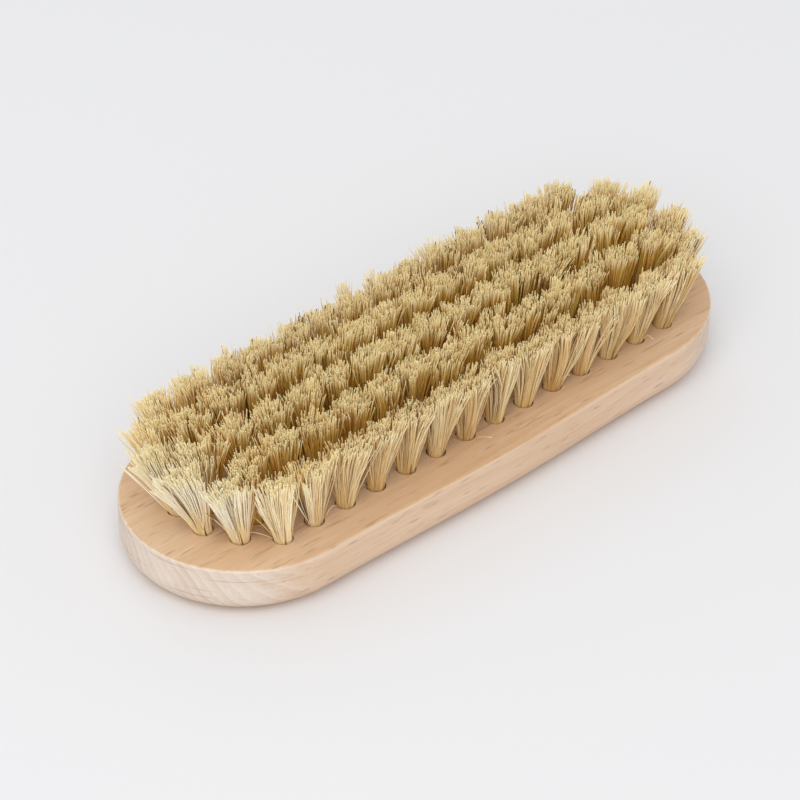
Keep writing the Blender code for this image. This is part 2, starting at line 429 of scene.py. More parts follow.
    def rings(self, effects: Effects, graph: Surface) -> Socket:
        """Growth rings: how late in its year's growth the wood is, from 0 to 1.

        The distance from the pith, a line along X beside the block, is shifted by a slow waver and
        divided by the ring spacing. What is over the last whole number rises slowly and falls at once.

        Args:
            effects: The shared node groups.
            graph: The material's tree.

        Returns:
            The lateness, weaker in some years than in others.
        """
        _, y, z = graph.split(graph.place)
        across = graph.math("SUBTRACT", y, self.pith_y)
        up = graph.math("SUBTRACT", z, self.pith_z)
        squares = graph.total(graph.math("POWER", across, 2.0), graph.math("POWER", up, 2.0))
        waver = graph.product(effects.streak(graph, graph.place, self.drift), self.ring_waver)
        radius = graph.total(graph.math("SQRT", squares), waver)
        age = graph.math("DIVIDE", radius, self.ring_spacing)
        late = graph.math("FRACT", age)
        year = graph.add("ShaderNodeTexWhiteNoise", {"W": graph.math("FLOOR", age)}, noise_dimensions="1D")
        drawn = year.outputs["Value"]
        strength = graph.math("MULTIPLY_ADD", drawn, self.ring_variety, self.faintest_ring)
        fall = graph.math("SUBTRACT", 1.0, graph.ease(late, *self.ring_fall))
        return graph.product(late, fall, strength)

    def scratches(self, effects: Effects, graph: Surface) -> Socket:
        """Thin level lines that the cutter leaves across the end grain.

        They are long streaks whose own X is turned to the block's Y.

        Args:
            effects: The shared node groups.
            graph: The material's tree.

        Returns:
            How much of a line there is, from 0 to 1.
        """
        _, y, z = graph.split(graph.place)
        return graph.ease(effects.streak(graph, graph.join(y, z, 0.0), self.cuts), *self.cut_range)

    def rubbed_edge_and_highlight(self, graph: Surface, facing_z: Socket, height: float) -> Socket:
        """Where the arris round the face is rubbed pale and carries a painted highlight.

        That is high up on the block, where the surface faces neither up nor sideways, broken up by
        noise.

        Args:
            graph: The material's tree.
            facing_z: The Z of the surface's normal.
            height: The height of the block's face.

        Returns:
            The share of rubbed edge and painted highlight, from 0 to 1.
        """
        low, full = (height * share for share in self.rub_and_highlight_height_shares)
        high = graph.ease(graph.split(graph.place)[2], low, full)
        tilted = graph.ease(facing_z, *self.rub_and_highlight_tilt)
        not_flat = graph.math("SUBTRACT", 1.0, graph.ease(facing_z, *self.flat_tilt))
        noise = graph.add("ShaderNodeTexNoise", {"Vector": graph.place, "Scale": self.rub_and_highlight_fineness})
        uneven = graph.ease(noise.outputs[0], *self.rub_and_highlight_breaks)
        return graph.product(high, tilted, not_flat, uneven)


@dataclass(frozen=True)
class BristleFinish:
    """Undyed natural bristle: gold with paler tips, with painted shade further in and at the roots.

    The outer tufts of the left end are painted paler, a painted light, and paler still towards the
    near side, a painted ivory light, while the other outer tufts are painted darker, a painted shade.
    Some strands are ruddy, and a few brown or black.
    """

    # Painted light: paler outer colours for the left end, where the splayed tufts catch the light.
    lit_left_pale: Colour = (0.990, 0.920, 0.700)
    lit_left_gold: Colour = (0.955, 0.770, 0.400)
    lit_left_x: Range = (-0.0340, -0.0510)
    # Painted shade: darker outer colours for the straight rows and the right end.
    outer_shaded_pale: Colour = (0.865, 0.735, 0.455)
    outer_shaded_gold: Colour = (0.790, 0.575, 0.265)
    # Painted shade: the golden colours of the strands among the inner tufts.
    inner_shaded_pale: Colour = (0.885, 0.740, 0.330)
    inner_shaded_gold: Colour = (0.790, 0.560, 0.165)
    ruddy: Colour = (0.740, 0.440, 0.220)
    ruddy_share: float = 0.35
    ruddy_range: Range = (0.70, 0.95)
    # Painted light: ivory towards the near side of the left end, where the tufts catch the light.
    ivory: Colour = (0.990, 0.950, 0.840)
    ivory_light_share: float = 0.80
    ivory_light_x: Range = (-0.053, -0.064)
    ivory_light_y: Range = (0.014, -0.004)
    ivory_light_along: Range = (0.20, 0.75)
    inner_tip_share: float = 0.55
    pale_tones: Range = (0.10, 0.90)
    brown: Colour = (0.300, 0.165, 0.070)
    brown_pigment: Range = (0.05, 0.45)
    black: Colour = (0.090, 0.055, 0.030)
    black_pigment: Range = (0.55, 0.95)
    tip: Colour = (0.980, 0.910, 0.605)
    tip_along: Range = (0.86, 1.00)
    strand_step: float = 0.013
    mottle: Streaks = Streaks(900.0, 2.5)
    mottle_depth: float = 0.18
    # Painted shade: how far shelter and the roots deepen the colour; root_depth is the painted shade at the
    # feet, less at the lit left end.
    shelter_shade: float = 0.90
    root_depth: float = 0.46
    lit_left_root_shade: float = 0.12
    inner_root_shade: float = 0.70
    root_along: Range = (0.00, 0.50)
    tip_share: float = 0.62
    roughness: float = 0.46
    roughness_change: float = 0.08
    specular: float = 0.30

    def material(self, effects: Effects) -> bpy.types.Material:
        """Builds the material.

        It reads five attributes of the strands: tone, from 0 to 1 for each strand, pigment, as
        Pigment says, along, from 0 at the root to 1 at the tip, inward, from 0 at the outer tufts to 1
        among the inner ones, and shelter, from 0 where light reaches to 1 deep down among the strands.
        The colours that inward, shelter and the roots bring are painted shade, and those of the left end
        and its near side are painted light.

        Args:
            effects: The shared node groups.

        Returns:
            The material.
        """
        graph = Surface("natural_bristle")
        tone, pigment, along, inward, shelter = (
            graph.add("ShaderNodeAttribute", attribute_name=name).outputs["Fac"]
            for name in StrandMesh.ATTRIBUTES
        )
        strand_place = graph.join(graph.product(along, self.strand_step), tone, 0.0)
        mottle = effects.streak(graph, strand_place, self.mottle)
        x, y, _ = graph.split(graph.place)
        paleness = graph.ease(tone, *self.pale_tones)
        # Painted light and shade: the left end's outer tufts get the lit colours, the others the shaded
        # ones.
        left = graph.mix(paleness, self.lit_left_gold, self.lit_left_pale)
        outer = graph.mix(paleness, self.outer_shaded_gold, self.outer_shaded_pale)
        lit_left_share = graph.ease(x, *self.lit_left_x)
        outer = graph.mix(lit_left_share, outer, left)
        # Painted shade: inner tufts get the shaded colours, partly even at their tips.
        inner = graph.mix(paleness, self.inner_shaded_gold, self.inner_shaded_pale)
        below = graph.math("MULTIPLY_ADD", shelter, 1 - self.inner_tip_share, self.inner_tip_share)
        ground = graph.mix(graph.product(inward, below), outer, inner)
        # Painted shade at the roots, deeper among the inner tufts.
        at_root = graph.math("SUBTRACT", 1.0, graph.ease(along, *self.root_along))
        change = self.lit_left_root_shade - self.root_depth
        outer_root_shade = graph.math("MULTIPLY_ADD", lit_left_share, change, self.root_depth)
        # Mottle is the strands' own colour; shelter and the roots add painted shade.
        depth = graph.weighted(
            (mottle, self.mottle_depth),
            (shelter, self.shelter_shade),
            (at_root, outer_root_shade),
            (at_root, inward, self.inner_root_shade),
        )
        draw = graph.add("ShaderNodeTexWhiteNoise", {"W": tone}, noise_dimensions="1D").outputs["Value"]
        ruddy = graph.product(graph.ease(draw, *self.ruddy_range), self.ruddy_share)
        ground = graph.mix(ruddy, ground, self.ruddy)
        # Painted light: ivory mixed in at the near side of the left end.
        at_end = graph.product(graph.ease(x, *self.ivory_light_x), graph.ease(along, *self.ivory_light_along))
        ivory = graph.product(at_end, graph.ease(y, *self.ivory_light_y), self.ivory_light_share)
        ground = graph.mix(ivory, ground, self.ivory)
        body = effects.deepen(graph, ground, depth)
        cut = graph.product(graph.ease(along, *self.tip_along), self.tip_share)
        pale = graph.mix(cut, body, self.tip)
        dark = graph.mix(graph.ease(pigment, *self.black_pigment), self.brown, self.black)
        looks = {
            "Base Color": graph.mix(graph.ease(pigment, *self.brown_pigment), pale, dark),
            "Roughness": graph.math("MULTIPLY_ADD", mottle, self.roughness_change, self.roughness),
            "Specular IOR Level": self.specular,
        }
        return graph.finish(looks)


@dataclass(frozen=True)
class BrushPlan:
    """Where the tufts stand, how they lean and how they are trimmed.

    The sizes are those of the solids, apart from left_rise, by which the trim rises again towards the
    left end.
    """

    half_length: float
    half_width: float
    face_height: float
    end_reach: float = 0.0255
    rows_each_side: int = 2
    tufts_per_row: int = 14
    tufts_per_end: int = 4
    row_pitch: float = 0.00775
    row_overrun: float = 0.0052
    end_gap: float = 0.0060
    side_splay: float = math.radians(6.0)
    left_splay: float = math.radians(18.0)
    right_splay: float = math.radians(13.5)
    end_splay_power: float = 2.5
    crown_drop: float = 0.0016
    left_rise: float = 0.0014
    tufts_per_node: int = 2

    @classmethod
    def from_frame(cls) -> "BrushPlan":
        """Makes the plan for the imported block."""
        low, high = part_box("block")
        return cls((high.x - low.x) / 2, (high.y - low.y) / 2, high.z)

    @property
    def spine_half(self) -> float:
        """Half the straight stretch between the round ends."""
        return self.half_length - self.end_reach

    @property
    def row_half(self) -> float:
        """Half the length of a straight row of tufts."""
        return self.spine_half + self.row_overrun

    @property
    def half_step(self) -> float:
        """Half the step between tufts of a row."""
        return self.row_half / (self.tufts_per_row - 1)

    @property
    def ring_half_width(self) -> float:
        """Distance from the middle line to the outer rows."""
        return self.rows_each_side * self.row_pitch

    @property
    def ring_reach(self) -> float:
        """How far the arc of tufts round an end reaches past the start of that end."""
        return self.row_overrun + self.half_step + self.end_gap

    def straight_row(self, count: int, half_run: float, y: float) -> np.ndarray:
        """Returns evenly spaced points of one straight row, as a (count, 2) array."""
        return np.stack([np.linspace(-half_run, half_run, count), np.full(count, y)], 1)

    def end_arc(self, side: int) -> np.ndarray:
        """Points of the half oval of tufts round one end.

        The turn from one outer row's last tuft to the other's is divided evenly.

        Args:
            side: -1 for the left end and 1 for the right.

        Returns:
            A (tufts_per_end, 2) array.
        """
        widest = math.acos(self.row_overrun / self.ring_reach)
        step = np.arange(1, self.tufts_per_end + 1)
        angle = widest * (1 - 2 * step / (self.tufts_per_end + 1))
        x = self.spine_half + self.ring_reach * np.cos(angle)
        return np.stack([side * x, self.ring_half_width * np.sin(angle)], 1)

    def rows(self) -> dict[str, np.ndarray]:
        """All tufts. The middle row has one tuft more than the others, half a step out of line.

        Returns:
            The centres of the tufts of each end and row, by its name.
        """
        rows = {"left_end": self.end_arc(-1), "right_end": self.end_arc(1)}
        for offset in range(-self.rows_each_side, self.rows_each_side + 1):
            more = 0 if offset else 1
            half_run = self.row_half + more * self.half_step
            row = self.straight_row(self.tufts_per_row + more, half_run, offset * self.row_pitch)
            rows[f"row_{offset + self.rows_each_side + 1}"] = row
        return rows

    def nodes(self) -> Iterator[tuple[str, np.ndarray]]:
        """Shares the tufts of each end and row out among its nodes.

        Yields:
            The name of a node and the centres of its tufts.
        """
        for name, row in self.rows().items():
            for first in range(0, len(row), self.tufts_per_node):
                number = first // self.tufts_per_node + 1
                yield f"tufts_{name}_{number}", row[first : first + self.tufts_per_node]

    def endness(self, x: np.ndarray | float) -> np.ndarray | float:
        """Returns a power of how far out along the block a tuft stands, 1 at the very end."""
        return (np.abs(x) / (self.spine_half + self.ring_reach)) ** self.end_splay_power

    def drop(self, point: np.ndarray) -> float:
        """How much lower than in the middle of the brush a tuft is trimmed.

        The crown falls by the square of the distance from the middle line or, past the straight
        stretch, from its end. At the left end the rise, which grows evenly there, is taken off.

        Args:
            point: The middle of the tuft's hole.

        Returns:
            The drop.
        """
        past = max(abs(point[0]) - self.spine_half, 0.0) / self.ring_reach
        drop = self.crown_drop * (past**2 + (point[1] / self.ring_half_width) ** 2)
        return drop - (self.left_rise * past if point[0] < 0 else 0.0)

    def leans(self, points: np.ndarray) -> np.ndarray:
        """Run over rise of tufts at these points.

        The slant across the block grows evenly with the distance from its middle line. The slant
        along the block grows by a power of the distance from its middle.

        Args:
            points: A (count, 2) array.

        Returns:
            A (count, 2) array.
        """
        x, y = points.T
        slant = np.where(x < 0, -self.left_splay, self.right_splay) * self.endness(x)
        return np.stack([np.tan(slant), np.tan(self.side_splay * y / self.ring_half_width)], 1)


def mesh_from_arrays(name: str, points: np.ndarray, faces: list[np.ndarray]) -> bpy.types.Mesh:
    """Makes a mesh out of whole arrays.

    Args:
        name: The mesh's name.
        points: The vertices, with X, Y and Z last.
        faces: Arrays of vertex numbers, one row a face. All faces of one array have as many corners.

    Returns:
        The mesh, shaded smooth.
    """
    mesh = bpy.data.meshes.new(name)
    corners = np.concatenate([part.ravel() for part in faces]).astype(np.int32)
    counts = np.concatenate([np.full(len(part), part.shape[1]) for part in faces])
    starts = np.concatenate([[0], np.cumsum(counts)[:-1]]).astype(np.int32)
    mesh.vertices.add(points.size // 3)
    mesh.vertices.foreach_set("co", points.astype(np.float32).ravel())
    mesh.loops.add(len(corners))
    mesh.loops.foreach_set("vertex_index", corners)
    mesh.polygons.add(len(counts))
    mesh.polygons.foreach_set("loop_start", starts)
    mesh.polygons.foreach_set("use_smooth", np.ones(len(counts), bool))
    mesh.update(calc_edges=True)
    return mesh


def wrapped_quads(rows: int, columns: int) -> np.ndarray:
    """Quads between neighbouring rows of a grid whose last column meets its first.

    Row r, column c holds vertex r * columns + c. Columns run anticlockwise as seen from past the last
    row, so that the quads face outwards.

    Args:
        rows: How many rows of points there are.
        columns: How many points a row has.

    Returns:
        A ((rows - 1) * columns, 4) array of vertex numbers.
    """
    row, column = (part.ravel() for part in np.mgrid[0 : rows - 1, 0:columns])
    after = (column + 1) % columns
    low, high = row * columns, (row + 1) * columns
    return np.stack([low + column, low + after, high + after, high + column], 1)


def put_in_scene(name: str, data: bpy.types.ID) -> bpy.types.Object:
    """Makes an object at the origin.

    Args:
        name: The object's name.
        data: Its mesh, lamp or camera.

    Returns:
        The object.
    """
    made = bpy.data.objects.new(name, data)
    bpy.context.scene.collection.objects.link(made)
    return made


def unit_vectors(angles: np.ndarray) -> np.ndarray:
    """Returns the vectors of length 1 at these angles, as a (count, 2) array."""
    return np.stack([np.cos(angles), np.sin(angles)], 1)


def sunflower(count: int, start: float) -> np.ndarray:
    """Points spread evenly over a disc of radius 1.

    Each lies a golden angle on from the last, and the square of its distance from the middle grows
    evenly.

    Args:
        count: How many points.
        start: The first point's angle.

    Returns:
        A (count, 2) array.
    """
    order = np.arange(count)
    return unit_vectors(order * GOLDEN_ANGLE + start) * np.sqrt((order + 0.5) / count)[:, None]


@dataclass
class Block:
    """The beech block with its tuft holes."""

    plan: BrushPlan
    side_bow: float = 0.0010
    back_radius: float = 0.0055
    arris_radius: float = 0.0005
    arris_unevenness_share: float = 0.22
    hole_diameter: float = 0.0040
    hole_depth: float = 0.0064
    drill_point: float = 0.0009
    cut_overrun: float = 0.0010
    end_columns: int = 97
    side_columns: int = 61
    back_rows: int = 13
    wall_rows: int = 6
    arris_rows: int = 6
    hole_columns: int = 28
    sharp_angle: float = math.radians(32.0)

    ARRIS_WAVES = ((5, 1.0, 1.0), (13, 0.6, 0.0), (31, 0.4, 2.0))

    def outline(self) -> np.ndarray:
        """Plan of the block, anticlockwise from its right end.

        Each end is half an ellipse. Each side bows out by half a wave of a cosine. One quarter is
        worked out and mirrored twice.

        Returns:
            A (columns, 2) array.
        """
        plan = self.plan
        end_half_width = plan.half_width - self.side_bow
        turn = np.linspace(0.0, np.pi / 2, self.end_columns)
        end = np.stack(
            [plan.spine_half + plan.end_reach * np.cos(turn), end_half_width * np.sin(turn)], 1
        )
        share = np.linspace(0.0, 1.0, self.side_columns)[1:]
        bow = self.side_bow * (1 - np.cos(np.pi * share)) / 2
        side = np.stack([plan.spine_half * (1 - share), end_half_width + bow], 1)
        quarter = np.concatenate([end, side])
        upper = np.concatenate([quarter, quarter[-2::-1] * (-1, 1)])
        return np.concatenate([upper, upper[-2:0:-1] * (1, -1)])

    def profile(self, columns: int) -> tuple[np.ndarray, np.ndarray]:
        """Inset and height of the block's skin, from the edge of its back up to the edge of its face.

        A quarter circle rounds the back, the wall stands upright, and a small quarter circle breaks the
        arris. That one's radius wavers a little round the block, as hand sanding leaves it, by the sum
        of three sine waves, each with its count, size and start.

        Args:
            columns: How many points the outline has.

        Returns:
            The insets and the heights, each a (rows, columns) array.
        """
        back = np.linspace(0.0, np.pi / 2, self.back_rows)[:, None]
        face = np.linspace(0.0, np.pi / 2, self.arris_rows)[:, None]
        wall = np.linspace(0.0, 1.0, self.wall_rows)[1:-1, None]
        around = np.linspace(0.0, 2 * np.pi, columns, endpoint=False)[None, :]
        waver = sum(size * np.sin(count * around + start) for count, size, start in self.ARRIS_WAVES)
        radius = self.arris_radius * (1 + self.arris_unevenness_share * waver)
        wall_top = self.plan.face_height - radius
        insets = [self.back_radius * (1 - np.sin(back)) + 0 * around, 0 * (wall + around)]
        insets.append(radius * (1 - np.cos(face)))
        heights = [self.back_radius * (1 - np.cos(back)) + 0 * around]
        heights.append(self.back_radius + (wall_top - self.back_radius) * wall)
        heights.append(wall_top + radius * np.sin(face))
        return np.concatenate(insets), np.concatenate(heights)

    def skin(self) -> bpy.types.Mesh:
        """The block without its holes: the profile carried round the outline, and two flat caps.

        A point lies inwards of its place on the outline, along the outline's normal, by the inset.

        Returns:
            The closed mesh.
        """
        outline = self.outline()
        columns = len(outline)
        along = np.roll(outline, -1, 0) - np.roll(outline, 1, 0)
        along /= np.linalg.norm(along, axis=1, keepdims=True)
        outward = np.stack([along[:, 1], -along[:, 0]], 1)
        inset, height = self.profile(columns)
        flat = outline - outward * inset[..., None]
        points = np.concatenate([flat, height[..., None]], 2)
        rows = len(points)
        ring = np.arange(columns)
        caps = np.stack([ring[::-1], ring + (rows - 1) * columns])
        return mesh_from_arrays("block_beech", points, [wrapped_quads(rows, columns), caps])

    def drill(self) -> bpy.types.Mesh:
        """What the drill takes out: a slanted cylinder with a short point for each tuft.

        Each is a circle carried along its slant from above the face down to the bottom.

        Returns:
            All cylinders as one mesh.
        """
        points = np.concatenate(list(self.plan.rows().values()))
        leans = self.plan.leans(points)
        turn = np.linspace(0.0, 2 * np.pi, self.hole_columns, endpoint=False)
        circle = unit_vectors(turn) * self.hole_diameter / 2
        levels = np.array([-self.hole_depth, self.cut_overrun])
        centres = points[:, None, None] + leans[:, None, None] * levels[None, :, None, None]
        rings = centres + circle[None, None]
        heights = np.broadcast_to(levels[None, :, None, None], (*rings.shape[:3], 1))
        walls = np.concatenate([rings, heights + self.plan.face_height], 3).reshape(len(points), -1, 3)
        bottom = -self.hole_depth - self.drill_point
        deepest = np.concatenate(
            [points + leans * bottom, np.full((len(points), 1), self.plan.face_height + bottom)], 1
        )
        vertices = np.concatenate([walls, deepest[:, None]], 1)
        count = self.hole_columns
        first = (np.arange(len(points)) * (2 * count + 1))[:, None, None]
        ring = np.arange(count)
        cone = np.stack([np.full(count, 2 * count), (ring + 1) % count, ring], 1)
        sides = (first + wrapped_quads(2, count)).reshape(-1, 4)
        tops = (first + (ring + count)[None, None]).reshape(-1, count)
        cones = (first + cone).reshape(-1, 3)
        return mesh_from_arrays("tuft_holes", vertices, [sides, tops, cones])

    def build(self, finish: bpy.types.Material) -> bpy.types.Object:
        """Makes the finished block and puts it in place of the plain one.

        Args:
            finish: The beech.

        Returns:
            The block.
        """
        block = put_in_scene("block_beech", self.skin())
        drill = put_in_scene("tuft_holes", self.drill())
        cut = block.modifiers.new("holes", "BOOLEAN")
        cut.operation = "DIFFERENCE"
        cut.solver = "EXACT"
        cut.object = drill
        depsgraph = bpy.context.evaluated_depsgraph_get()
        bored = bpy.data.meshes.new_from_object(block.evaluated_get(depsgraph))
        block.modifiers.clear()
        bpy.data.objects.remove(drill)
        block.data = bored
        bored.set_sharp_from_angle(angle=self.sharp_angle)
        bored.materials.clear()
        bored.materials.append(finish)
        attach(block, BODY)
        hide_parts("block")
        return block


@dataclass
class StrandMesh:
    """Turns the centre lines of strands into slim tubes with flat sides and closed ends."""

    sides: int = 3
    map_bands: int = 8
    map_fill_share: float = 0.8

    ATTRIBUTES = ("tone", "pigment", "along", "inward", "shelter")
    MAP_NAME = "OFBake"
    CAP_SHARE = 0.04
    RING_TILT = 0.3

    def build(self, name: str, paths: np.ndarray, radii: np.ndarray, values: dict) -> bpy.types.Mesh:
        """Makes the mesh.

        A ring of points round a centre line is a circle in the plane of two vectors, square to the
        line and to each other. The first is also square to a vector that leans up by the ring tilt
        and turns by the golden angle from strand to strand.

        Args:
            name: The mesh's name.
            paths: Points of the centre lines, a (strands, stations, 3) array.
            radii: The radius there, a (strands, stations) array.
            values: For each attribute, an array that spreads over (strands, stations).

        Returns:
            The mesh, with the attributes and a map that gives each strand a cell of its own.
        """
        strands, stations = radii.shape
        ahead = np.gradient(paths, axis=1)
        ahead /= np.linalg.norm(ahead, axis=2, keepdims=True)
        heading = np.arange(strands) * GOLDEN_ANGLE
        tilt = np.full((strands, 1), self.RING_TILT)
        beside = np.concatenate([unit_vectors(heading), tilt], 1)[:, None]
        first = np.cross(ahead, beside)
        first /= np.linalg.norm(first, axis=2, keepdims=True)
        second = np.cross(ahead, first)
        turn = np.arange(self.sides) * 2 * np.pi / self.sides
        ring = first[:, :, None] * np.cos(turn)[:, None] + second[:, :, None] * np.sin(turn)[:, None]
        points = paths[:, :, None] + ring * radii[:, :, None, None]
        per_strand = stations * self.sides
        start = (np.arange(strands) * per_strand)[:, None, None]
        quads = (start + wrapped_quads(stations, self.sides)).reshape(-1, 4)
        ends = np.arange(self.sides)
        caps = np.stack([ends[::-1], ends + per_strand - self.sides])
        caps = (start + caps).reshape(-1, self.sides)
        mesh = mesh_from_arrays(name, points, [quads, caps])
        mesh.polygons.foreach_set("use_smooth", np.zeros(len(quads) + len(caps), bool))
        for label in self.ATTRIBUTES:
            spread = np.broadcast_to(values[label], (strands, stations))
            attribute = mesh.attributes.new(label, "FLOAT", "POINT")
            attribute.data.foreach_set("value", np.repeat(spread, self.sides).astype(np.float32))
        layer = mesh.uv_layers.new(name=self.MAP_NAME)
        layer.uv.foreach_set("vector", self.cells(strands, stations).astype(np.float32).ravel())
        return mesh

    def cells(self, strands: int, stations: int) -> np.ndarray:
        """Map places of all corners, in the order of the faces.

        The map is cut into bands, and each band into as many columns as it has strands. A strand runs
        up its column from root to tip, and its sides lie beside each other.

        Args:
            strands: How many strands there are.
            stations: How many rings of points a strand has.

        Returns:
            A (corners, 2) array.
        """
        across = -(-strands // self.map_bands)
        number = np.arange(strands)
        left = (number % across)[:, None, None]
        floor = (number // across)[:, None, None]
        row, side = (part.ravel() for part in np.mgrid[0 : stations - 1, 0 : self.sides])
        u = np.stack([side, side + 1, side + 1, side], 1) / self.sides
        v = np.stack([row, row, row + 1, row + 1], 1) / (stations - 1)
        cap_u = np.tile(np.arange(self.sides) / self.sides, (2, 1))
        cap_v = np.linspace((0.0, 1 - self.CAP_SHARE), (self.CAP_SHARE, 1.0), self.sides, axis=1)
        places = []
        for part_u, part_v in ((u, v), (cap_u, cap_v)):
            margin = (1 - self.map_fill_share) / 2
            x = (left + margin + self.map_fill_share * part_u) / across
            y = (floor + margin + self.map_fill_share * part_v) / self.map_bands
            places.append(np.stack([x, y], -1).reshape(-1, 2))
        return np.concatenate(places)


@dataclass(frozen=True)
class Hair:
    """One loose hair that leaves a tuft low down.

    Its heading is an angle in degrees anticlockwise from X, and it bends over a hump on its way.
    """

    tuft: int
    heading: float
    run: float
    rise: float
    hump: float = 0.0
    pigment: Pigment = Pigment.PALE


# The single hairs that the photograph shows at the left end. Tuft 0 is the left end's first.
LOOSE_HAIRS = (
    Hair(tuft=1, heading=141.0, run=0.0110, rise=0.0118, hump=0.0002),
    Hair(tuft=1, heading=134.0, run=0.0104, rise=0.0104, hump=0.0004),
    Hair(tuft=1, heading=149.0, run=0.0096, rise=0.0116),
    Hair(tuft=1, heading=137.0, run=0.0086, rise=0.0122, hump=0.0003),
    Hair(tuft=2, heading=150.0, run=0.0066, rise=0.0110, hump=0.0003, pigment=Pigment.BROWN),
    Hair(tuft=3, heading=142.0, run=0.0062, rise=0.0070, hump=0.0003, pigment=Pigment.BROWN),
    Hair(tuft=3, heading=128.0, run=0.0056, rise=0.0048, hump=0.0006),
    Hair(tuft=8, heading=136.0, run=0.0066, rise=0.0018, hump=0.0005),
    Hair(tuft=8, heading=143.0, run=0.0047, rise=0.0036, hump=0.0004, pigment=Pigment.BROWN),
    Hair(tuft=8, heading=128.0, run=0.0058, rise=0.0050, hump=0.0003),
    Hair(tuft=9, heading=184.0, run=0.0061, rise=0.0134, pigment=Pigment.BLACK),
    Hair(tuft=9, heading=193.0, run=0.0058, rise=0.0122, pigment=Pigment.BROWN),
    Hair(tuft=9, heading=188.0, run=0.0055, rise=0.0108, pigment=Pigment.BLACK),
    Hair(tuft=9, heading=206.0, run=0.0053, rise=0.0104, pigment=Pigment.BROWN),
    Hair(tuft=9, heading=199.0, run=0.0049, rise=0.0086, pigment=Pigment.BLACK),
    Hair(tuft=9, heading=213.0, run=0.0041, rise=0.0064, pigment=Pigment.BLACK),
    Hair(tuft=10, heading=184.0, run=0.0052, rise=0.0006, hump=0.0014),
    Hair(tuft=11, heading=166.0, run=0.0044, rise=0.0008, hump=0.0014),
)


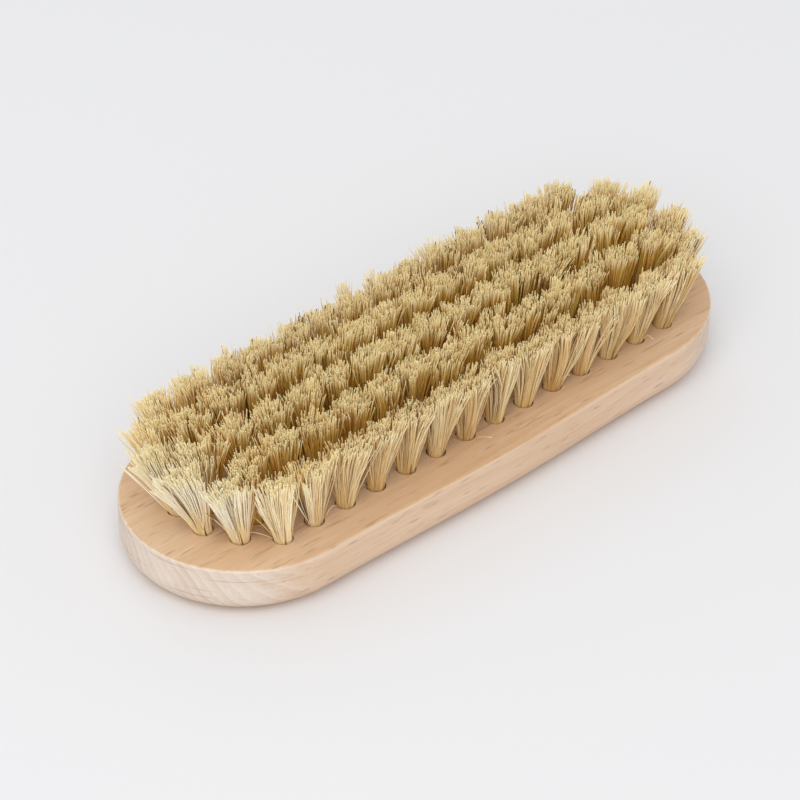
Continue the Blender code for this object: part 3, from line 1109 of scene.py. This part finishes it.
@dataclass
class Tufts:
    """The bristle of one node: one or two tufts, each a bundle that fans out of its hole."""

    plan: BrushPlan
    node: str
    points: np.ndarray
    first_number: int
    bristle_top: float
    strands_per_tuft: int = 340
    locks: int = 13
    bundle_radius: float = 0.00172
    root_depth: float = 0.0020
    root_radius: float = 0.000090
    tip_radius: float = 0.000104
    radius_unevenness_share: float = 0.12
    spread_along: float = 0.0040
    spread_across: float = 0.0032
    left_end_more: float = 0.12
    right_end_more: float = 0.05
    rim_softness: float = 0.40
    rim_power: int = 3
    rim_start_share: float = 0.5
    tuft_variety: Range = (0.94, 1.06)
    flare: float = 1.22
    lock_flare_spread: float = 0.15
    lock_push_spread: float = 0.16
    lock_scatter: float = 0.09
    lock_looseness_share: float = 0.62
    lock_looseness_variety: Range = (0.55, 1.45)
    lean_waver: float = 0.024
    lock_unevenness: float = 0.0011
    lock_bow: float = 0.00055
    strand_bow: float = 0.0004
    strand_unevenness: float = 0.00040
    short_share: float = 0.06
    shortest: float = 0.0035
    side_waver: float = 0.00045
    fold_waver: float = 0.35
    fold_gap_share: float = 0.10
    leg_share: float = 0.08
    loose_share: float = 0.03
    loose_reach: Range = (1.05, 1.45)
    tone: float = 0.60
    tuft_tone_spread: float = 0.04
    lock_tone_spread: float = 0.13
    strand_tone_spread: float = 0.16
    brown_share: float = 0.013
    black_share: float = 0.006
    dark_lock_share: float = 0.035
    dark_lock_brown_share: float = 0.28
    hairs_per_tuft: float = 0.7
    hair_headings: Range = (0.0, 360.0)
    hair_runs: Range = (0.0030, 0.0062)
    hair_rises: Range = (0.0010, 0.0090)
    hair_humps: Range = (0.0, 0.0016)
    hair_tones: Range = (0.45, 0.95)
    hair_foot_share: float = 0.80
    hair_root_share: float = 0.25
    # Sizes of the painted shade that the material puts on inward and sheltered strands.
    outer_depth: float = 0.0016
    inward_reach: float = 0.0038
    shelter_reach: float = 0.0022
    stations: tuple[float, ...] = (0.0, 0.12, 0.30, 0.52, 0.76, 1.0)

    # The seeds of the tufts count up from this one, and those of the nodes' strand radii count down.
    FIRST_SEED = 7000

    @property
    def rise(self) -> float:
        """How far the bristle stands above the face over the middle of the brush."""
        return self.bristle_top - self.plan.face_height

    def spread(self, point: np.ndarray) -> np.ndarray:
        """How far a tuft's tips spread, which is more towards the ends of the block.

        Args:
            point: The middle of the hole's mouth.

        Returns:
            The reach along the block and across it.
        """
        more = self.left_end_more if point[0] < 0 else self.right_end_more
        grown = 1 + more * self.plan.endness(point[0])
        return np.array([self.spread_along, self.spread_across]) * grown

    def lines(self, point: np.ndarray, lean: np.ndarray, draw: np.random.Generator) -> tuple:
        """Centre lines and looks of one tuft's strands.

        A strand's foot is a point of a sunflower pattern in the hole, parted into two legs by the fold
        over the anchor. Its tip is the same point of a wider pattern, drawn towards the middle of its
        lock, and then moved out by a power of its distance from the middle of the tuft, or in if it is
        close to that. Between foot and tip the strand runs out by a power of its height, with a slight
        bow. Each lock has a reach, a power, a bow, a height and a tone of its own. A few strands are
        loose and reach further out, and a few are short.

        Args:
            point: The middle of the hole's mouth.
            lean: The tuft's run over rise.
            draw: The tuft's own random numbers.

        Returns:
            The centre lines, a (strands, stations, 3) array, and the tones and pigments, each a
            (strands,) array.
        """
        count, locks = self.strands_per_tuft, self.locks
        disc = sunflower(count, draw.uniform(0.0, 2 * np.pi))
        middles = sunflower(locks, draw.uniform(0.0, 2 * np.pi))
        middles = middles + draw.normal(0.0, self.lock_scatter, (locks, 2))
        lock = np.linalg.norm(disc[:, None] - middles[None], axis=2).argmin(1)
        fold = draw.normal(0.0, self.fold_waver)
        across_fold = np.array([np.cos(fold), np.sin(fold)])
        leg = np.sign(disc @ across_fold)[:, None] * across_fold
        foot = (disc * (1 - self.fold_gap_share) + leg * self.fold_gap_share) * self.bundle_radius
        push = 1 + draw.normal(0.0, self.lock_push_spread, locks)
        looseness = self.lock_looseness_share * draw.uniform(*self.lock_looseness_variety, locks)
        wide = middles[lock] * push[lock, None] + (disc - middles[lock]) * looseness[lock, None]
        wide = wide * (1 - self.leg_share) + leg * self.leg_share
        wide += draw.normal(0.0, self.side_waver / self.spread_along, (count, 2))
        out = np.linalg.norm(wide, axis=1, keepdims=True)
        wide *= 1 + self.rim_softness * (np.minimum(out, 1.0) ** self.rim_power - self.rim_start_share)
        loose = draw.random(count) < self.loose_share
        wide *= np.where(loose, draw.uniform(*self.loose_reach, count), 1.0)[:, None]
        tip = wide * self.spread(point) * draw.uniform(*self.tuft_variety)
        short = draw.uniform(0.0, self.lock_unevenness, locks)[lock]
        short += np.abs(draw.normal(0.0, self.strand_unevenness, count))
        short += (draw.random(count) < self.short_share) * draw.uniform(0.0, self.shortest, count)
        height = self.rise - self.plan.drop(point) - short
        shares = np.array(self.stations)[None]
        above = shares * (height + self.root_depth)[:, None] - self.root_depth
        power = self.flare + draw.normal(0.0, self.lock_flare_spread, locks)[lock, None]
        grown = (np.clip(above, 0.0, None) / height[:, None]) ** power
        bend = draw.normal(0.0, self.lock_bow, (locks, 2))[lock]
        bend = bend + draw.normal(0.0, self.strand_bow, (count, 2))
        curve = bend[:, None] * (np.sin(np.pi * shares) * shares)[..., None]
        lean = lean + draw.normal(0.0, self.lean_waver, 2)
        flat = point + lean * above[..., None] + foot[:, None] + (tip - foot)[:, None] * grown[..., None]
        paths = np.concatenate([flat + curve, above[..., None] + self.plan.face_height], 2)
        tone = self.tone + draw.normal(0.0, self.tuft_tone_spread)
        tone = tone + draw.normal(0.0, self.lock_tone_spread, locks)[lock]
        tone = np.clip(tone + draw.normal(0.0, self.strand_tone_spread, count), 0.0, 1.0)
        dark_lock = (draw.random(locks) < self.dark_lock_share)[lock]
        chance = draw.random(count)
        brown = chance < np.where(dark_lock, self.dark_lock_brown_share, self.brown_share)
        black = chance > 1 - self.black_share
        pigment = np.select([brown, black], [Pigment.BROWN.value, Pigment.BLACK.value], Pigment.PALE.value)
        return paths, tone, pigment

    def hairs(self, point: np.ndarray, number: int, draw: np.random.Generator) -> tuple:
        """Centre lines and looks of the loose hairs round one tuft.

        Some follow the photograph, and a random number more are drawn. Each is a parabola's arc from
        inside the hole's edge to its end, over a middle point that is raised by the hump.

        Args:
            point: The middle of the hole's mouth.
            number: The tuft's number.
            draw: The tuft's own random numbers.

        Returns:
            As lines returns them.
        """
        wanted = [hair for hair in LOOSE_HAIRS if hair.tuft == number]
        ranges = (self.hair_headings, self.hair_runs, self.hair_rises, self.hair_humps)
        for _ in range(draw.poisson(self.hairs_per_tuft)):
            wanted.append(Hair(number, *[draw.uniform(*limits) for limits in ranges]))
        sizes = np.array([(hair.run, hair.rise, hair.hump) for hair in wanted]).reshape(-1, 3)
        outward = unit_vectors(np.radians([hair.heading for hair in wanted]))
        share = np.array(self.stations)[None, :, None]
        run, rise, hump = (part[:, None, None] for part in sizes.T)
        start = self.bundle_radius * self.hair_foot_share
        reach = start + (run - start) * share
        bow = 4 * hump * share * (1 - share)
        height = -self.root_depth * self.hair_root_share + rise * share + bow
        flat = point + outward[:, None] * reach
        paths = np.concatenate([flat, height + self.plan.face_height], 2)
        tone = draw.uniform(*self.hair_tones, len(wanted))
        return paths, tone, np.array([hair.pigment.value for hair in wanted])

    def depths(self, paths: np.ndarray) -> dict[str, np.ndarray]:
        """How far inside the whole bristle points lie, which the material turns into painted shade.

        At each height the outside is an oval: the ring of outer tufts, moved out by their lean and
        their fan. Beyond the outer depth, inward nears 1 exponentially with the distance to that oval.
        Shelter does so with that distance or with the one to the level of the tips, whichever is less.

        Args:
            paths: Points, with X, Y and Z last.

        Returns:
            The attributes inward and shelter, each from 0 to 1.
        """
        above = np.clip(paths[..., 2] - self.plan.face_height, 0.0, self.rise)
        fan = (self.spread_across - self.bundle_radius) * (above / self.rise) ** self.flare
        fan += self.bundle_radius
        half_across = self.plan.ring_half_width + math.tan(self.plan.side_splay) * above + fan
        half_along = self.plan.ring_reach + math.tan(self.plan.left_splay) * above + fan
        past = np.clip(np.abs(paths[..., 0]) - self.plan.spine_half, 0.0, None)
        reached = np.hypot(past / half_along, paths[..., 1] / half_across)
        beyond = np.clip((1 - reached) * half_across - self.outer_depth, 0.0, None)
        covered = np.minimum(beyond, self.rise - above)
        return {
            "inward": 1 - np.exp(-beyond / self.inward_reach),
            "shelter": 1 - np.exp(-covered / self.shelter_reach),
        }

    def build(self, tube: StrandMesh, finish: bpy.types.Material) -> bpy.types.Object:
        """Grows the tufts and puts them in place of their node.

        Args:
            tube: What turns centre lines into a mesh.
            finish: The bristle.

        Returns:
            The strands of all tufts of the node, as one piece.
        """
        grown = []
        for k, (point, lean) in enumerate(zip(self.points, self.plan.leans(self.points))):
            number = self.first_number + k
            draw = np.random.default_rng(self.FIRST_SEED + number)
            grown.append(self.lines(point, lean, draw))
            grown.append(self.hairs(point, number, draw))
        paths, tone, pigment = (np.concatenate(part) for part in zip(*grown))
        draw = np.random.default_rng(self.FIRST_SEED - 1 - self.first_number)
        along = np.array(self.stations)[None]
        radii = self.root_radius + (self.tip_radius - self.root_radius) * along
        radii = radii * (1 + draw.normal(0.0, self.radius_unevenness_share, len(paths)))[:, None]
        values = {"tone": tone[:, None], "pigment": pigment[:, None], "along": along}
        values |= self.depths(paths)
        name = f"{self.node}_bristles"
        mesh = tube.build(name, paths, radii, values)
        mesh.materials.append(finish)
        piece = put_in_scene(name, mesh)
        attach(piece, BODY)
        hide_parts(self.node)
        return piece


def direction(azimuth: float, elevation: float) -> Vector:
    """The way from the brush to something that stands at two angles.

    The azimuth turns from -Y towards +X, and the elevation rises from the floor.

    Args:
        azimuth: In degrees.
        elevation: In degrees.

    Returns:
        A vector of length 1.
    """
    turn, rise = math.radians(azimuth), math.radians(elevation)
    return Vector((math.sin(turn) * math.cos(rise), -math.cos(turn) * math.cos(rise), math.sin(rise)))


@dataclass(frozen=True)
class Lamp:
    """A square soft light that faces the brush, at angles in degrees as direction takes them."""

    name: str
    level: float
    azimuth: float
    elevation: float
    distance: float
    side: float

    def place(self, target: Vector) -> bpy.types.Object:
        """Puts the lamp in the scene.

        Its power makes a white level surface at the target as bright as the level says. A lamp of
        power P at distance d, whose light meets the surface at a height angle e, gives a brightness of
        P times sin(e) over the square of pi times d.

        Args:
            target: The point that it faces.

        Returns:
            The lamp.
        """
        back = direction(self.azimuth, self.elevation)
        data = bpy.data.lights.new(self.name, "AREA")
        data.shape = "SQUARE"
        data.size = self.side
        height_share = math.sin(math.radians(self.elevation))
        data.energy = self.level * (math.pi * self.distance) ** 2 / height_share
        lamp = put_in_scene(self.name, data)
        lamp.location = target + back * self.distance
        lamp.rotation_euler = (-back).to_track_quat("-Z", "Y").to_euler()
        return lamp


@dataclass
class Studio:
    """Camera, floor and soft light."""

    azimuth: float = -43.66
    elevation: float = 37.88
    roll: float = 1.47
    aim: tuple[float, float, float] = (0.00422, 0.01153, 0.0)
    distance: float = 0.7170
    lens: float = 161.0
    floor_half: float = 3.0
    floor_drop: float = 0.00004
    floor_colour: Colour = (0.815, 0.817, 0.832)
    floor_unevenness_share: float = 0.015
    floor_fineness: float = 6.0
    floor_roughness: float = 0.9
    floor_specular: float = 0.1
    sky_colour: Colour = (0.840, 0.842, 0.860)
    sky_level: float = 0.68
    diffuse_bounces: int = 8
    lamps: tuple[Lamp, ...] = (
        Lamp("window", level=0.415, azimuth=-53.0, elevation=47.0, distance=1.6, side=1.5),
        Lamp("back_light", level=0.06, azimuth=150.0, elevation=55.0, distance=1.6, side=1.0),
    )

    def camera(self) -> bpy.types.Object:
        """Stands the camera where the photograph was taken from.

        Returns:
            The camera.
        """
        ahead = -direction(self.azimuth, self.elevation)
        roll = math.radians(self.roll)
        level = ahead.cross(Vector((0, 0, 1))).normalized()
        up = level.cross(ahead)
        right = level * math.cos(roll) + up * math.sin(roll)
        upward = up * math.cos(roll) - level * math.sin(roll)
        data = bpy.data.cameras.new("camera")
        data.lens = self.lens
        made = put_in_scene("camera", data)
        axes = Matrix((right, upward, -ahead)).transposed().to_4x4()
        made.matrix_world = Matrix.Translation(Vector(self.aim) - ahead * self.distance) @ axes
        bpy.context.scene.camera = made
        return made

    def floor(self) -> bpy.types.Object:
        """Lays a plain pale floor, barely uneven in its colour, just under the block's back.

        Returns:
            The floor.
        """
        half, low = self.floor_half, -self.floor_drop
        corners = np.array([(-half, -half, low), (half, -half, low), (half, half, low), (-half, half, low)])
        floor = put_in_scene("floor", mesh_from_arrays("floor", corners, [np.arange(4)[None]]))
        graph = Surface("pale_floor")
        noise = graph.add("ShaderNodeTexNoise", {"Vector": graph.place, "Scale": self.floor_fineness})
        darker = tuple(channel * (1 - self.floor_unevenness_share) for channel in self.floor_colour)
        looks = {
            "Base Color": graph.mix(noise.outputs[0], darker, self.floor_colour),
            "Roughness": self.floor_roughness,
            "Specular IOR Level": self.floor_specular,
        }
        floor.data.materials.append(graph.finish(looks))
        return floor

    def sky(self) -> None:
        """Gives even white light from all round, and the pale background that the camera sees."""
        world = bpy.data.worlds.new("studio")
        bpy.context.scene.world = world
        world.use_nodes = True
        graph = Graph(world.node_tree)
        background = world.node_tree.nodes["Background"]
        paths = graph.add("ShaderNodeLightPath").outputs
        seen = graph.math("MAXIMUM", paths["Is Camera Ray"], paths["Is Transmission Ray"])
        light = (self.sky_level,) * 3
        graph.fill(background, {"Color": graph.mix(seen, light, self.sky_colour)})

    def build(self, target: Vector) -> None:
        """Makes the camera, the floor and all lights.

        Args:
            target: The point that the lamps face.
        """
        self.camera()
        self.floor()
        self.sky()
        for lamp in self.lamps:
            lamp.place(target)
        bpy.context.scene.view_settings.view_transform = "Standard"
        bpy.context.scene.cycles.diffuse_bounces = self.diffuse_bounces


def triangles(piece: bpy.types.Object) -> int:
    """Returns how many triangles a mesh object has."""
    piece.data.calc_loop_triangles()
    return len(piece.data.loop_triangles)


def main() -> None:
    """Builds the studio and the whole brush, and reports each piece."""
    logging.basicConfig(level=logging.INFO, format="%(message)s")
    plan = BrushPlan.from_frame()
    Studio().build(Vector((0.0, 0.0, plan.face_height)))
    effects = Effects()
    block = Block(plan).build(BeechFinish().material(effects, plan.face_height))
    LOG.info("%s: %d triangles", block.name, triangles(block))
    bristle = BristleFinish().material(effects)
    tube = StrandMesh()
    number, total = 0, 0
    for node, points in plan.nodes():
        piece = Tufts(plan, node, points, number, CAD_BOX[1].z).build(tube, bristle)
        number += len(points)
        total += triangles(piece)
        LOG.info("%s: %d triangles", piece.name, triangles(piece))
    LOG.info("%d tufts, %d triangles of bristle", number, total)


if __name__ == "__main__":
    main()
